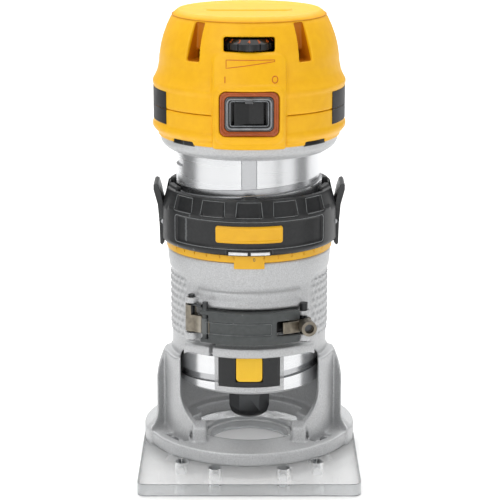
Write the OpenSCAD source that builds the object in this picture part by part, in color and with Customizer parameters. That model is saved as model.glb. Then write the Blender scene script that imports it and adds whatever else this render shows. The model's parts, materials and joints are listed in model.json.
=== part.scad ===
// Compact fixed-base trim router, modelled as it comes apart on a bench.
// Frame: origin on the spindle axis at the underside of the sub-base,
// +Z up along the spindle, -Y towards the user (switch side), +X to the right.
// Heights are given above the work surface with the motor at mid adjustment.

/* [Motor] */
// Radius of the machined motor barrel
barrel_r = 34.5; // [34:0.1:35]
// Height of the barrel's lower end
barrel_z0 = 35.5; // [35:0.5:36]
// Height of the barrel's upper end, where the cast flare starts
barrel_z1 = 147.4; // [147:0.1:148]
// Inside radius of the barrel
barrel_bore_r = 31.4; // [31:0.1:31.6]
// Lead of the depth thread, one ring turn
thread_pitch = 12.7; // [12.7]
// Width of the helical thread groove
groove_w = 3.3; // [3.0:0.1:3.6]
// Depth of the helical thread groove
groove_d = 1.3; // [1.1:0.1:1.4]
// Width of the two keyways that stop the motor turning
keyway_w = 7; // [6.8:0.1:7.2]
// Radius of the yellow cap at its widest ridge
cap_r = 45.3; // [45:0.1:45.6]
// Height of the cap's top face
cap_top = 213.6; // [213:0.1:214]
// Height of the seam between cap and collar
seam_z = 169.5; // [169:0.1:170]
// Wall thickness of the moulded covers
cover_wall = 2.6; // [2.2:0.1:2.8]

/* [Base] */
// Radius of the bore that holds the motor
sleeve_bore_r = 34.58; // [34.56:0.01:34.6]
// Outside radius of the sleeve
sleeve_r = 37.7; // [37.5:0.1:38]
// Radius of the round flange
flange_r = 51; // [50.5:0.5:51]
// Thickness of the flange
flange_t = 6.2; // [6:0.1:6.5]
// Width of the sub-base
sub_w = 102; // [102]
// Distance from the spindle axis to the sub-base's front edge
sub_front = 72.5; // [72:0.5:73]
// Thickness of the sub-base
sub_t = 5.7; // [5.5:0.1:6]
// Radius of the hole in the sub-base
sub_hole_r = 19; // [18:0.5:20]

/* [Depth ring] */
// Outside radius of the depth adjusting ring
ring_r = 42.2; // [42:0.1:42.4]
// Height of the ring's lower edge
ring_z0 = 104.5; // [104.5]
// Squeeze-tab pivot, distance from the axis
tab_pivot_x = 40.4; // [40.4]
// Squeeze-tab pivot height
tab_pivot_z = 114; // [114]

/* [Cutter drive] */
// Width across flats of the collet nut
nut_af = 17; // [17]
// Radius of the cutter shank that the collet holds
shank_r = 3.175; // [3.175]
// Radius of the spindle at the armature
shaft_r = 5; // [5]

/* [Hidden] */
$fn = 48;
eps = 0.01;

flange_z1 = sub_t + flange_t;
groove_z_front = 132.35;          // groove centre height at the front, upper turn
groove_top_azimuth = 285;         // the groove ends here, past the back
groove_quarters = 34;
groove_tilt = atan(thread_pitch/8/sin(45)/barrel_r);
keyway_d = 0.9;
lock_z = 48;                      // height of the spindle-lock pin
skirt_r = 38.5;
skirt_bore_r = 35.5;
neck_r = 36.4;
lip_r = 37.4;
base_top = 110.2;
lever_r = 45;
lever_wall = 2.4;
lever_z0 = 62.9;
lever_z1 = 78.2;
bracket_pivot = [-26.8, -31.8];
lever_pivot = [-20.3, -37.9];
link_pivot = [25.3, -34];
bracket_pin_r = 1.55;
link_pin_r = 1.84;
notch_z0 = 66.9;
notch_z1 = 73.7;
gland_z = 163.2;                   // height of the cord gland at the back
sub_screws = [for (x = [-36, 36], y = [-23.9, 23.9]) [x, y]];
accessory_holes = [[-31.9, -42.8], [31.9, -42.8], [-15.9, -51], [15.9, -51]];
guide_holes = [[-30.3, -29.2], [30.3, -29.2]];

yellow = "#ecbe2d";
ring_black = "#464848";
cast_grey = "#c2c3c4";

// ---------- shared shapes ----------

// Azimuths run from the front (-Y) towards +X.
module at_azimuth(a) rotate([0, 0, a]) children();

// Part of a round band between two radii, two heights and two azimuths.
module sector(r_out, r_in, z0, z1, a0, a1)
  rotate([0, 0, a0 - 90]) rotate_extrude(angle = a1 - a0)
    translate([r_in, z0]) square([r_out - r_in, z1 - z0]);

// Closed round band.
module band(r_out, r_in, z0, z1)
  translate([0, 0, z0]) difference() {
    cylinder(r = r_out, h = z1 - z0);
    translate([0, 0, -1]) cylinder(r = r_in, h = z1 - z0 + 2);
  }

module disc(r, z0, z1) translate([0, 0, z0]) cylinder(r = r, h = z1 - z0);

// Box from its lowest to its highest corner.
module span(lo, hi) translate(lo) cube(hi - lo);

// Outline drawn in X and Z, extruded from y0 to y1.
module front_slab(y0, y1) translate([0, y1, 0]) rotate([90, 0, 0]) linear_extrude(y1 - y0) children();

module rounded_rect(x0, z0, x1, z1, r) union() {
  translate([x0 + r, z0]) square([x1 - x0 - 2*r, z1 - z0]);
  translate([x0, z0 + r]) square([x1 - x0, z1 - z0 - 2*r]);
  for (x = [x0 + r, x1 - r], z = [z0 + r, z1 - r]) translate([x, z]) circle(r);
}

module mirrored_x() { children(); mirror([1, 0, 0]) children(); }

// Vertical cylinder at a plan position.
module post(p, r, z0, z1) translate([p[0], p[1], z0]) cylinder(r = r, h = z1 - z0);

// Horizontal cylinder along Y.
module rod_y(x, z, r, y0, y1) translate([x, y1, z]) rotate([90, 0, 0]) cylinder(r = r, h = y1 - y0);

// Horizontal cylinder along X.
module rod_x(y, z, r, x0, x1) translate([x0, y, z]) rotate([0, 90, 0]) cylinder(r = r, h = x1 - x0);

// ---------- base ----------

module window_outline() union() {
  translate([-32.6, 34.4]) square([65.2, 13.9]);
  translate([-25.6, 34.4]) square([51.2, 20.9]);
  translate([-15, 16.8]) square([30, 20]);
  translate([-20.2, flange_z1 - 3]) square([40.4, 24]);
  for (s = [-1, 1]) {
    translate([s*15, 34.4]) circle(17.6);
    translate([s*25.6, 48.3]) circle(7);
  }
}

// Buttress that carries each side of the front window down to the flange.
module fin() intersection() {
  front_slab(-30, 4) union() {
    translate([34, flange_z1]) square([10.4, 38 - flange_z1]);
    intersection() {
      translate([27.4, 38]) circle(17);
      translate([34, 37]) square([20, 20]);
    }
    difference() {
      translate([44, flange_z1]) square([6.5, 8]);
      translate([52.4, flange_z1 + 8]) circle(8);
    }
  }
  translate([0, 0, 5]) linear_extrude(60)
    polygon([[34, 1.5], [37, -1.6], [48.6, -21.8], [54, -21.8], [54, -14], [44.6, -6.4], [40, 1.5]]);
  band(flange_r, skirt_bore_r + 1.5, 5, 60);
}

module flange() difference() {
  disc(flange_r, sub_t, flange_z1);
  translate([0, 0, sub_t - 1]) linear_extrude(flange_t + 2) difference() {
    circle(30.3);
    for (s = [-1, 1]) translate([s*31, 10]) circle(7.4);
  }
  // front edge trimmed back a little
  sector(flange_r + 2, flange_r - 0.9, sub_t - 1, flange_z1 + 1, -67, 67);
  // long recesses beside the posts, each with two holes
  for (s = [-1, 1]) sector(45.6, 39.6, flange_z1 - 1.6, flange_z1 + 1, s*52.5 - 10, s*52.5 + 10);
  for (p = concat(guide_holes, sub_screws)) post(p, 2, sub_t - 1, flange_z1 + 1);
}

// Skirt, sleeve, shoulder and the neck that the depth ring sits on.
module sleeve() rotate_extrude() polygon([
  [skirt_bore_r, flange_z1 - 1], [skirt_r, flange_z1 - 1], [skirt_r, 55], [sleeve_r, 62],
  [sleeve_r, 88], [38.7, 96.5], [38.9, 100.5], [neck_r, 100.5], [neck_r, 107], [lip_r, 107.6],
  [lip_r, base_top], [sleeve_bore_r, base_top], [sleeve_bore_r, 56.5], [skirt_bore_r, 55.5]]);

module base_casting() color(cast_grey) difference() {
  union() {
    difference() {
      sleeve();
      front_slab(-60, -2) window_outline();
    }
    flange();
    mirrored_x() fin();
    // collar lip over the window and the ledge over the lever
    sector(40.4, 36.5, 55.5, 59.6, -52, 52);
    difference() {
      sector(41.2, 36.5, 78.8, 86.4, -38.5, 38.5);
      translate([0, 0, 80.4]) rotate_extrude() polygon([[39, 6.1], [41.3, 0], [45, 0], [45, 8], [39, 8]]);
    }
    // posts at the foot of the window
    mirrored_x() difference() {
      span([20.2, -34, flange_z1 - 0.5], [26.8, -28, 24]);
      translate([0, -34, 20.9]) rotate([27, 0, 0]) span([19, -2, 0], [28, 12, 8]);
    }
    // ears for the bracket pin and the link pin
    for (p = [bracket_pivot, link_pivot], z = [[62.4, 66.2], [80, 83]])
      if (p[0] < 0 || z[0] < 70) ear(p, z[0], z[1]);
    ear(link_pivot, 74.8, 77.9);
  }
  // split and relief slot that let the lower collar close on the motor
  at_azimuth(-26) span([-1, -45, 54], [1, -30, 78]);
  sector(45, 30, 77, 78.6, -34, 44);
  // seat of the guide pin and the pivot pins
  rod_y(0, 66, 3.2, 30, 45);
  post(bracket_pivot, 1.6, 60, 85);
  post(link_pivot, 1.9, 60, 81.4);
}

module ear(p, z0, z1) {
  a = atan2(p[0], -p[1]);
  r = norm(p);
  post(p, 3.1, z0, z1);
  at_azimuth(a) span([-2.8, -r, z0], [2.8, -36, z1]);
}

module sub_base_outline() difference() {
  union() {
    circle(sub_w/2);
    translate([-sub_w/2 + 4, -sub_front]) square([sub_w - 8, sub_front]);
    translate([-sub_w/2, -sub_front + 4]) square([sub_w, sub_front - 4]);
    for (s = [-1, 1]) translate([s*(sub_w/2 - 4), -sub_front + 4]) circle(4);
  }
  circle(sub_hole_r);
  for (p = accessory_holes) translate(p) circle(3);
  for (p = guide_holes) translate(p) circle(2.2);
  for (p = sub_screws) translate(p) circle(2.2);
}

module sub_base() color([0.86, 0.9, 0.92, 0.5]) difference() {
  linear_extrude(sub_t) sub_base_outline();
  for (p = sub_screws) translate([p[0], p[1], -eps]) cylinder(r1 = 4.4, r2 = 2.2, h = 2.4);
  // step of the guide-bushing seat
  translate([0, 0, sub_t - 1.6]) cylinder(r = sub_hole_r + 2, h = 2);
}

module sub_base_screws() color("#9a9da0") for (p = sub_screws) translate([p[0], p[1], 0])
  difference() {
    rotate_extrude() polygon([[0, 0.2], [3.9, 0.2], [2, 2.3], [2, 10.2], [0, 10.2]]);
    translate([0, 0, -1]) cylinder(r = 1.5, h = 2.4, $fn = 6);
  }

module guide_pin() color("#9a9da0") rod_y(0, 66, 3.2, 33.95, 38.3);

// ---------- clamp ----------

module clamp_bracket() color("#8d8878") difference() {
  union() {
    sector(43.4, 41.6, 66.8, 79.4, -40.5, -30.5);
    post(bracket_pivot, 2.9, 66.8, 79.4);
    post(lever_pivot, 2.3, 66.8, 74.4);
  }
  post(bracket_pivot, 1.6, 60, 85);
  post(lever_pivot, 1.54, 60, 85);
  sector(47, 43.5, 60, 85, -33, -20);
  span([-27, -50, 74.8], [-10, -30, 85]);
}

module clamp_hinge_pins() color("#9a9da0") {
  post(bracket_pivot, bracket_pin_r, 62, 84);
  post(link_pivot, link_pin_r, 62, 80.6);
}

// Channel-section lever with a notch that clears the draw link's hook.
module clamp_lever() color("#545757") difference() {
  union() {
    sector(lever_r, lever_r - lever_wall, lever_z0, lever_z1, -30.6, 31.6);
    for (z = [lever_z0, lever_z1 - 1.6]) sector(lever_r - 1, 40.6, z, z + 1.6, -29.6, 29);
    post(lever_pivot, 1.45, lever_z0 + 1, lever_z1 + 0.8);
  }
  sector(46, 40, notch_z0, notch_z1, 16.5, 33);
  sector(46, lever_r - 0.6, 67.6, 73, -26.5, 13.2);
  // room for the bracket's knuckle
  difference() {
    post(lever_pivot, 2.8, lever_z0 + 1.9, lever_z1 - 1.9);
    post(lever_pivot, 1.45, 60, 85);
  }
}

module clamp_link() color("#6f6b66") difference() {
  union() {
    sector(40.3, 38.8, 67.4, 73.2, -17, 30);
    sector(45.2, 38.8, 67.4, 73.2, 24, 31.6);
    post(link_pivot, 3.5, 67.4, 73.2);
    link_stud(1.9, 0, 6);
  }
  post(link_pivot, 1.9, 60, 85);
  sector(43.6, 40.3, 60, 80, 20, 26);
}

module link_stud(r, d0, d1) translate([link_pivot[0], link_pivot[1], 70.6]) rotate([90, 0, 14])
  translate([0, 0, d0]) cylinder(r = r, h = d1 - d0);

module clamp_nut() color("#a5a098") difference() {
  link_stud(3.6, 4.2, 10);
  link_stud(1.9, 0, 6);
  link_stud(2.2, 7.6, 12);
}

// ---------- depth ring ----------

module ring_profile() polygon([
  [37.8, ring_z0], [41.2, ring_z0], [ring_r, ring_z0 + 1.5], [ring_r, 121], [39.9, 130.3],
  [37.6, 130.3], [37.6, 121.6], [34.85, 121.6], [34.85, 110.6], [37.8, 110.6]]);

module depth_ring() color(ring_black) difference() {
  union() {
    rotate_extrude() ring_profile();
    // towers beside the tabs
    for (s = [-1, 1]) sector(38.3, 35.6, 121.6, 131.8, s*90 - 24, s*90 + 24);
    // follower lugs that run in the motor's groove
    for (k = [0, 1]) at_azimuth(180*k) thread_lug(119.65 - k*thread_pitch/2);
    span([-3, -39.8, 129.6], [3, -37.4, 131]);
  }
  // tab pockets
  for (s = [-1, 1]) at_azimuth(s*90) {
    span([-9, -50, 100], [9, -30, 110.6]);
    span([-9, -50, 110], [9, -39, 121.7]);
    span([-9, -50, 121.6], [9, -38.3, 135]);
    translate([-11.5, -tab_pivot_x, tab_pivot_z]) rotate([0, 90, 0]) cylinder(r = 1.2, h = 23);
  }
  // finger windows round the sloping top, front and back
  for (s = [0, 180], a = [-48, -24, 0, 24, 48]) at_azimuth(s + a) translate([0, -41.3, 125.7])
    rotate([-14, 0, 0]) span([-5.4, -3, -3.6], [5.4, 0.1, 3.6]);
  // long recess for the badge, front and back
  for (s = [0, 180]) sector(46, ring_r - 0.8, 108, 120.2, s - 55, s + 55);
  // seat of the pointer
  sector(46, 40.6, 104, 107.2, -14, 14);
}

module thread_lug(z) translate([0, 0, z]) rotate([0, -groove_tilt, 0])
  sector(35.2, 33.65, -1.25, 1.25, -5, 5);

module ring_pointer() color("#d9dadc") difference() {
  sector(41.9, 40.6, ring_z0 + 0.1, 107.2, -13.8, 13.8);
  sector(43, 41.4, 103, 108, -0.8, 0.8);
}

module ring_badge() color(yellow) intersection() {
  band(ring_r - 0.1, ring_r - 0.79, 108, 121);
  front_slab(-45, -30) rounded_rect(-16, 110.4, 16, 118.4, 2);
}

module tab_pivot_pins() color("#9a9da0") for (s = [-1, 1]) rod_y(s*tab_pivot_x, tab_pivot_z, 1.15, -11.4, 11.4);

// Springs that push the tabs' upper ends outwards.
module tab_spring_right() color("#b5b8bb") rod_x(0, 119, 1.8, 39, 40.1);
module tab_spring_left() color("#b5b8bb") mirror([1, 0, 0]) tab_spring_right();

module release_tab() difference() {
  front_slab(-8.6, 8.6) difference() {
    union() {
      polygon([[40.15, 103.2], [41.2, 101.8], [42.2, 102.6], [42.5, 113], [43.2, 121.5], [45.1, 128.6],
        [45.1, 130.8], [44.2, 131.6], [42.9, 131], [41.8, 127.6], [40.5, 121], [40.3, 110], [40, 107],
        [36.95, 106.6], [36.95, 104.5], [40.15, 104.5]]);
      translate([tab_pivot_x, tab_pivot_z]) circle(1.35 + 0.9);
    }
    translate([tab_pivot_x, tab_pivot_z]) circle(1.22);
  }
  span([35, -10, 108], [39.3, 10, 118]);
}

module release_tab_right() color(ring_black) release_tab();
module release_tab_left() color(ring_black) mirror([1, 0, 0]) release_tab();

module scale_ring() color(yellow) difference() {
  union() {
    band(39.4, 36.75, 100.85, 104.1);
    sector(39.75, 39.2, 98, 104.1, -10.2, 10.2);
  }
  // graduation marks
  for (a = [-60 : 10 : 60]) if (a != 0) at_azimuth(a) span([-0.25, -41, 102.6], [0.25, -39.1, 104.2]);
  at_azimuth(0) span([-0.25, -41, 102], [0.25, -40, 104.2]);
}

// ---------- motor housing ----------

module groove_cutter() for (k = [0 : groove_quarters - 1]) {
  a = groove_top_azimuth - 45 - 90*k;
  z = groove_z_front + thread_pitch*a/360;
  depth = groove_d + (k % 2)*0.06;
  rotate([0, 0, a]) translate([0, 0, z]) rotate([0, -groove_tilt, 0])
    sector(barrel_r + 2, barrel_r - depth, -groove_w/2, groove_w/2, -45.6, 45.6);
}

module motor_housing() color("#d5d6d8") difference() {
  rotate_extrude() polygon([
    [11.5, barrel_z0], [33.3, barrel_z0], [barrel_r, barrel_z0 + 1.2], [barrel_r, barrel_z1],
    [37.6, 148.2], [40.4, 150.2], [41.6, 152.2], [41.9, 156.8], [38.8, 156.8], [38.2, 153], [31.4, 149],
    [barrel_bore_r, 64], [13, 64], [13, 55], [barrel_bore_r - 4, 55], [barrel_bore_r - 2, 53],
    [barrel_bore_r - 2, 39], [11.5, 39]]);
  groove_cutter();
  for (a = [0, 180]) at_azimuth(a)
    span([-keyway_w/2, -50, a == 0 ? 58 : 30], [keyway_w/2, -barrel_r + keyway_d, barrel_z1]);
  // window of the spindle lock
  span([-14.5, -40, 39.1], [14.5, -20, 54.3]);
  // air passages in the bearing web
  for (a = [30 : 60 : 330]) at_azimuth(a) translate([0, -21.5, 54]) cylinder(r = 4.5, h = 11);
  // seats of the work lights
  for (s = [-1, 1]) post([s*22, 0], 3.1, 34, 40);
}

// ---------- covers ----------

function cap_outer() = [
  [29, cap_top], [33, 213.2], [34.9, 211.6], [36.9, 208.9], [38.8, 204.9], [40.2, 201.2], [41.2, 197.5],
  [41.9, 193.5], [42.2, 188.6], [43, 184.6], [44.2, 182], [cap_r, 180.4], [cap_r, 179], [44.7, 178]];

module cap_shell() rotate_extrude() polygon(concat(
  [[0, cap_top - 0.5], [28.6, cap_top - 0.5]], cap_outer(),
  [[44.7, seam_z], [44.7 - cover_wall, seam_z], [44.7 - cover_wall, 180], [39.4, 188], [38.2, 199],
   [34.6, 208], [32, 210.8], [0, 210.8]]));

// Raised panel that carries the switch, from the dial window down past the seam.
module boss(inset) intersection() {
  rotate([0, 0, -115]) rotate_extrude(angle = 50) polygon([
    [40.6 - inset, 197.4], [43, 191.5], [45, 185.2], [46.4 - inset, 181.5], [46.7 - inset, 160],
    [45.6 - inset, 156.4], [44 - inset, 154.2], [42.3, 154.2], [42.3, 180], [39.6 - inset, 190], [38.4 - inset, 197.4]]);
  front_slab(-60, -30) rounded_rect(-16.6, 140, 16.6, 197.4, 4);
}

module switch_opening() front_slab(-60, -30) rounded_rect(-13.3, 160.8, 13.3, 181, 3);

module top_cap() color(yellow) difference() {
  union() {
    difference() { cap_shell(); front_slab(-60, -30) translate([-16.6, 150]) square([33.2, 40]); }
    boss(0);
  }
  switch_opening();
  // dial window
  span([-11.4, -60, 198], [11.4, -34, 204.4]);
  // tall air slots
  for (a = [-40, 40, -90, 90, 140, -140]) at_azimuth(a)
    translate([0, 0, 192.8]) span([-2.9, -60, 0], [2.9, -30, 16.6]);
  // screw wells in the top
  for (x = [-20, 20], y = [-20, 20]) post([x, y], 1.6, 205, 215);
}

module lower_collar() color(yellow) difference() {
  rotate_extrude() polygon([
    [44.7, seam_z], [44.7, 161.6], [45.4, 160.4], [45.3, 159], [44.6, 157.8], [42.9, 156.2], [42.7, 154.1],
    [42.2, 154.1], [42.2, 157.2], [42.1, seam_z]]);
  front_slab(-60, -30) translate([-16.7, 150]) square([33.4, 40]);
  // air gaps over the flare
  for (s = [-1, 1]) sector(50, 40, 153, 156.4, s*45 - 8, s*45 + 8);
  rod_y(0, gland_z, 6, 35, 50);
}

module label_plates() color("#3a3a3b") for (s = [-1, 1]) {
  sector(44.95, 44.72, 162.6, 169.4, s*90 - 32, s*90 + 32);
  sector(44.95, 44.72, 169.6, 177.6, s*90 - 32, s*90 + 32);
}

module cap_screws() color("#6d7073") for (x = [-20, 20], y = [-20, 20]) {
  post([x, y], 3, 208.2, 210.7);
  post([x, y], 1.5, 188.2, 208.2);
}

module cord_gland() color("#2e2f30") difference() {
  union() {
    rod_y(0, gland_z, 5.9, 36, 48);
    rod_y(0, gland_z, 6.3, 36, 40.9);
  }
  rod_y(0, gland_z, 4.2, 30, 60);
}

// ---------- switch and dial ----------

module switch_body() color("#2b2c2d") difference() {
  span([-9.4, -40.6, 163.6], [9.4, -24, 178]);
  span([-7.6, -50, 165.2], [7.6, -34, 176.6]);
  rod_z_hole();
}

module rod_z_hole() post([0, -38.6], 1.25, 160, 180);

// Rocker with two faces; at rest the side marked O is pressed in.
module switch_rocker() color("#1f2021") {
  translate([0, 0, 165.6]) linear_extrude(10.6) polygon([
    [-6.9, -44.9], [0, -42.7], [6.9, -42.9], [6.9, -38.2], [4.6, -36.6], [-4.6, -36.6], [-6.9, -38.2]]);
  post([0, -38.6], 1.2, 163.8, 177.8);
}

module switch_boot() color([0.55, 0.56, 0.57, 0.6]) difference() {
  front_slab(-45, -40.7) rounded_rect(-11, 163.1, 11, 178.7, 2.4);
  front_slab(-60, -30) rounded_rect(-8.9, 165.1, 8.9, 176.9, 1);
}

module switch_bezel() color("#b45a23") difference() {
  front_slab(-45.6, -40.7) rounded_rect(-13.2, 160.9, 13.2, 180.9, 3);
  front_slab(-60, -30) rounded_rect(-11.05, 163, 11.05, 178.8, 2.4);
}

dial_y = -29.6;

module speed_dial() color("#202122") difference() {
  union() {
    translate([0, dial_y, 198.5]) rotate_extrude() polygon([
      [0, 0], [11.6, 0], [12, 0.4], [12, 3], [9.6, 5], [0, 5]]);
    post([0, dial_y], 2.4, 193, 199);
  }
  for (a = [0 : 24 : 336]) translate([0, dial_y, 198]) rotate([0, 0, a]) span([-0.45, -13, -1], [0.45, -11.5, 3.6]);
}

module speed_module() color("#2f5d3a") union() {
  span([-20, -22, 184], [20, 22, 185.6]);
  difference() {
    span([-8, -37, 184], [8, -21.8, 192.6]);
    post([0, dial_y], 2.45, 188, 195);
  }
  for (x = [-13, 2]) span([x, -8, 185.5], [x + 9, 14, 193]);
}

// ---------- electric motor ----------

module brush_frame() color("#3c3d3f") difference() {
  disc(36, 153.2, 156.6);
  disc(13, 150, 160);
  for (a = [0 : 60 : 300]) at_azimuth(a) translate([0, -26, 150]) cylinder(r = 5, h = 10);
}

module brush_holders() color("#b9903c") for (s = [-1, 1]) at_azimuth(s*90) difference() {
  span([-4, -31, 156.6], [4, -12.2, 165.4]);
  span([-2.8, -40, 158], [2.8, -5, 164]);
}

module carbon_brushes() color("#333436") for (s = [-1, 1]) at_azimuth(s*90) difference() {
  span([-2.75, -25, 158.05], [2.75, -11, 163.95]);
  disc(11.35, 150, 170);
}

module upper_bearing_bracket() color("#3c3d3f") difference() {
  union() {
    disc(14, 167.5, 176);
    for (a = [90, 180, 270]) at_azimuth(a) {
      span([-5, -38.5, 173], [5, -12, 176]);
      span([-5, -38.5, 156.8], [5, -35, 176]);
    }
  }
  disc(11, 167, 174.6);
  disc(6, 170, 180);
  span([-8, 35.5, 150], [8, 45, 174]);
}

module race(r_out, r_in, z0, z1, groove_r) difference() {
  band(r_out, r_in, z0, z1);
  translate([0, 0, (z0 + z1)/2]) rotate_extrude() translate([groove_r, 0]) circle(1.6);
}

module upper_bearing_outer_race() color("#c9ccd0") race(11, 9.2, 167.6, 174.6, 7.5);
module upper_bearing_inner_race() color("#c9ccd0") race(5.9, 4, 167.6, 174.6, 7.5);
module lower_bearing_outer_race() color("#c9ccd0") race(13, 11.2, 55.4, 63.6, 9.5);
module lower_bearing_inner_race() color("#c9ccd0") race(7.9, 6, 55.4, 63.6, 9.5);

module bearing_balls() color("#e4e6e8") {
  for (a = [0 : 45 : 315]) at_azimuth(a) translate([0, -7.5, 171.1]) sphere(1.5);
  for (a = [0 : 40 : 320]) at_azimuth(a) translate([0, -9.5, 59.5]) sphere(1.5);
}

// Shroud that hangs round the upper half of the collet nut.
module bearing_cover() color("#2a2b2c") difference() {
  disc(13.4, 27.9, barrel_z0);
  disc(10.4, 20, 40);
}

module field_core() color("#8e9194") difference() {
  band(30.9, 17.2, 90, 132);
  for (a = [52, 112, 232, 292]) sector(27.4, 19.1, 80, 140, a, a + 16);
}

module field_coils() color("#a5602c") for (s = [90, 270]) {
  for (a = [s - 37, s + 23]) sector(26.8, 19.7, 85, 137, a, a + 14);
  for (z = [84, 132.6]) sector(27.1, 19.4, z, z + 5.4, s - 37.5, s + 37.5);
}

module spindle() color("#b7babd") difference() {
  union() {
    disc(7.3, 20, 40);
    disc(8.2, 40, 53);
    disc(6, 53, 82);
    disc(shaft_r, 82, 165);
    disc(4, 165, 176);
  }
  disc(5.6, 19, 42);
  for (a = [0, 90]) at_azimuth(a) {
    rod_y(0, lock_z, 2.6, -10, -4);
    rod_y(0, lock_z, 2.6, 4, 10);
  }
}

module armature_core() color("#8e9194") translate([0, 0, 90]) linear_extrude(42) difference() {
  circle(16.5);
  circle(shaft_r);
  for (a = [0 : 30 : 330]) rotate(a) translate([-0.9, 11]) square([1.8, 7]);
}

module armature_windings() color("#a5602c") {
  band(14.2, shaft_r, 82, 90);
  band(14.2, shaft_r, 132, 142);
}

module commutator() color("#b9743a") translate([0, 0, 150]) linear_extrude(15) difference() {
  circle(11);
  circle(shaft_r);
  for (a = [0 : 22.5 : 337.5]) rotate(a) translate([-0.2, 9.6]) square([0.4, 3]);
}

module cooling_fan() color("#46484a") difference() {
  union() {
    disc(9, 66, 76);
    disc(27, 66, 67.6);
    for (a = [0 : 30 : 330]) rotate([0, 0, a + 8]) span([-0.8, -27, 67], [0.8, -8, 76]);
  }
  disc(6, 60, 80);
}

module collet() color("#a9acb0") difference() {
  union() {
    disc(5.55, 20, 40);
    translate([0, 0, 17.5]) cylinder(r1 = 4.4, r2 = 5.55, h = 2.6);
  }
  disc(shank_r, 10, 45);
  for (a = [0 : 120 : 240]) rotate([0, 0, a + 30]) span([-0.35, -10, 15], [0.35, 0, 34]);
}

module collet_nut() color("#222324") difference() {
  intersection() {
    translate([0, 0, 15.2]) cylinder(r = nut_af/2/cos(30), h = 17.6, $fn = 6);
    rotate_extrude() polygon([[0, 15.2], [7.2, 15.2], [8.8, 16.6], [9.7, 19.2], [9.8, 31.8], [9.2, 32.8], [0, 32.8]]);
  }
  disc(7.3, 20, 40);
  disc(4.5, 10, 25);
  translate([0, 0, 17.5]) cylinder(r1 = 4.4, r2 = 5.6, h = 2.6);
}

// ---------- spindle lock ----------

module lock_housing() color("#303233") difference() {
  intersection() {
    span([-14.4, -40, 39.2], [14.4, -21, 54.2]);
    disc(34.3, 30, 60);
  }
  span([-6.4, -40, 41.7], [6.4, -27, 54.3]);
  rod_y(0, lock_z, 2.35, -40, -10);
  rod_y(0, lock_z, 4.4, -28, -22.5);
}

module lock_button() color(yellow) difference() {
  intersection() {
    front_slab(-34.2, -31.2) rounded_rect(-6.1, 42, 6.1, 53.9, 1.6);
    disc(34.3, 30, 60);
  }
  rod_y(0, lock_z, 2.3, -33, -20);
}

module lock_pin() color("#b7babd") rod_y(0, lock_z, 2.3, -33, -8.7);

// Compression spring between button and housing.
spring_turns = 4;
spring_steps = 14;
function spring_point(i, r, y0, y1) = let(a = 360*i/spring_steps)
  [r*cos(a), y0 + (y1 - y0)*i/(spring_turns*spring_steps), lock_z + r*sin(a)];

module lock_spring() color("#c9ccd0") {
  n = spring_turns*spring_steps;
  sides = 6;
  wire = 0.35;
  pts = [for (i = [0 : n]) let(p = spring_point(i, 3.2, -30.8, -22.9), a = 360*i/spring_steps)
    for (k = [0 : sides - 1]) let(b = 360*k/sides)
      p + wire*[cos(b)*cos(a), sin(b), cos(b)*sin(a)]];
  polyhedron(pts, concat(
    [[for (k = [0 : sides - 1]) k]],
    [for (i = [0 : n - 1], k = [0 : sides - 1])
      [i*sides + k, (i + 1)*sides + k, (i + 1)*sides + (k + 1) % sides, i*sides + (k + 1) % sides]],
    [[for (k = [sides - 1 : -1 : 0]) n*sides + k]]));
}

module work_lights() color("#e8eef2") for (s = [-1, 1]) union() {
  post([s*22, 0], 3, 35, 39.5);
  translate([s*22, 0, 35]) sphere(2.4);
}

base_casting();
sub_base();
sub_base_screws();
guide_pin();
clamp_bracket();
clamp_hinge_pins();
clamp_lever();
clamp_link();
clamp_nut();
depth_ring();
ring_pointer();
ring_badge();
tab_pivot_pins();
tab_spring_left();
tab_spring_right();
release_tab_left();
release_tab_right();
scale_ring();
motor_housing();
top_cap();
lower_collar();
label_plates();
cap_screws();
cord_gland();
switch_body();
switch_rocker();
switch_boot();
switch_bezel();
speed_dial();
speed_module();
brush_frame();
brush_holders();
carbon_brushes();
upper_bearing_bracket();
upper_bearing_outer_race();
upper_bearing_inner_race();
lower_bearing_outer_race();
lower_bearing_inner_race();
bearing_balls();
bearing_cover();
field_core();
field_coils();
spindle();
armature_core();
armature_windings();
commutator();
cooling_fan();
collet();
collet_nut();
lock_housing();
lock_button();
lock_pin();
lock_spring();
work_lights();
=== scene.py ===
import json
import math

import bmesh
import bpy
import numpy as np
import openvdb as vdb
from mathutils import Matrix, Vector


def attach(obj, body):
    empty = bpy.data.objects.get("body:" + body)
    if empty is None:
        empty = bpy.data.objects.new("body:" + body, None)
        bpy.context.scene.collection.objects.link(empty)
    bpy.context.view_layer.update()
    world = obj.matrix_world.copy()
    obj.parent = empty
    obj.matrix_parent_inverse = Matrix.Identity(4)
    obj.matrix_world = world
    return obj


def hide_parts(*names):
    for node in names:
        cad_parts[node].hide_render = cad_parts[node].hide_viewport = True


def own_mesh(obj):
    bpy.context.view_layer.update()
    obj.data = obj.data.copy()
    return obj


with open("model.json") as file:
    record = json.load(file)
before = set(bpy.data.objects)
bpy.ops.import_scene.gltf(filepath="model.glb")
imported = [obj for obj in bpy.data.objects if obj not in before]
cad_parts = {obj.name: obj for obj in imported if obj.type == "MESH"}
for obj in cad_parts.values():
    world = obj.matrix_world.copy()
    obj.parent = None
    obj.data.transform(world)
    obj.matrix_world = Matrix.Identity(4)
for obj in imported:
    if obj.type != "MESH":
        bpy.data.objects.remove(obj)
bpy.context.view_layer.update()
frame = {"nodes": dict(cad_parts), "record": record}
nodes = frame["nodes"]
MM = 0.001
COARSE = 1.0


# ---------- materials ----------

def lin(r, g, b):
    """Linear colour from 8-bit display values."""
    return tuple(((c / 255 + 0.055) / 1.055) ** 2.4 if c > 10 else c / 3294.6 for c in (r, g, b)) + (1.0,)


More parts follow.
